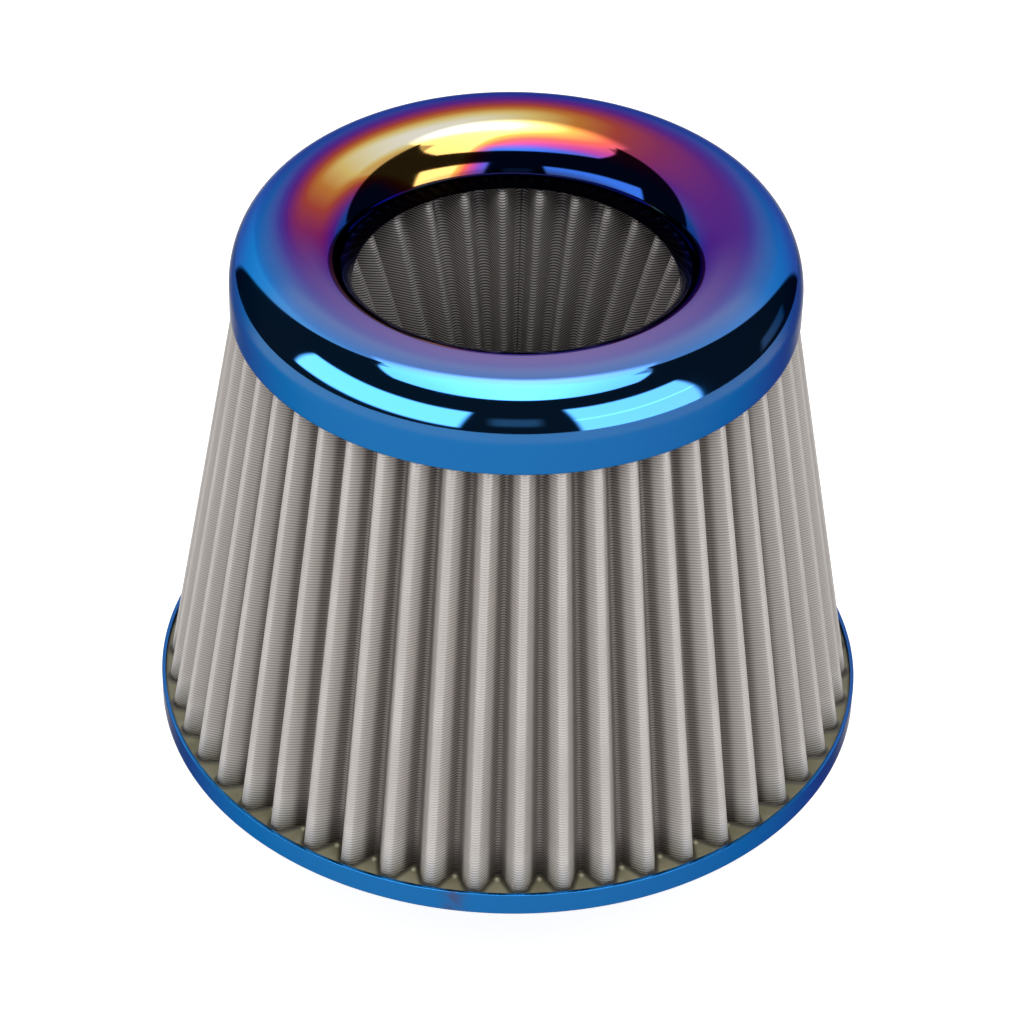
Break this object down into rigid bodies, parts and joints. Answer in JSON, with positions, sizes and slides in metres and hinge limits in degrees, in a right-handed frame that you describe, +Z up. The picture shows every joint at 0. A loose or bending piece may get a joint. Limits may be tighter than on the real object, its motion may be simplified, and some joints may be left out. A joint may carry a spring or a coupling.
{
  "type": "cold air intake filter",
  "caption": "Twin cone cold air intake filter with woven steel pleats, heat tinted steel cap with an open throat, base pan and a rubber neck for a 76 mm tube",
  "frame": {"origin": "on the filter's axis, in the plane of the neck's free end", "axes": "+Z up the filter's axis from the neck to the open throat of the cap, +X to the right and -Y towards the viewer of the picture"},
  "size_m": [0.155, 0.155, 0.1495],
  "materials": {
    "tinted_steel": "polished steel with a blue and violet heat tint",
    "neck_rubber": "matt black moulded rubber",
    "potting": "cast polyurethane, dull grey green",
    "steel_mesh": "fine woven steel wire, folded",
    "plain_steel": "plain rolled sheet"
  },
  "bodies": {
    "root": {"base_pan": "tinted_steel", "neck": "neck_rubber", "base_potting": "potting", "outer_pleats": "steel_mesh", "outer_seam_clip": "plain_steel", "top_cap": "tinted_steel", "cap_potting": "potting", "inner_pleats": "steel_mesh", "funnel_cup": "plain_steel", "funnel_potting": "potting", "inner_seam_clip": "plain_steel"}
  },
  "joints": []
}
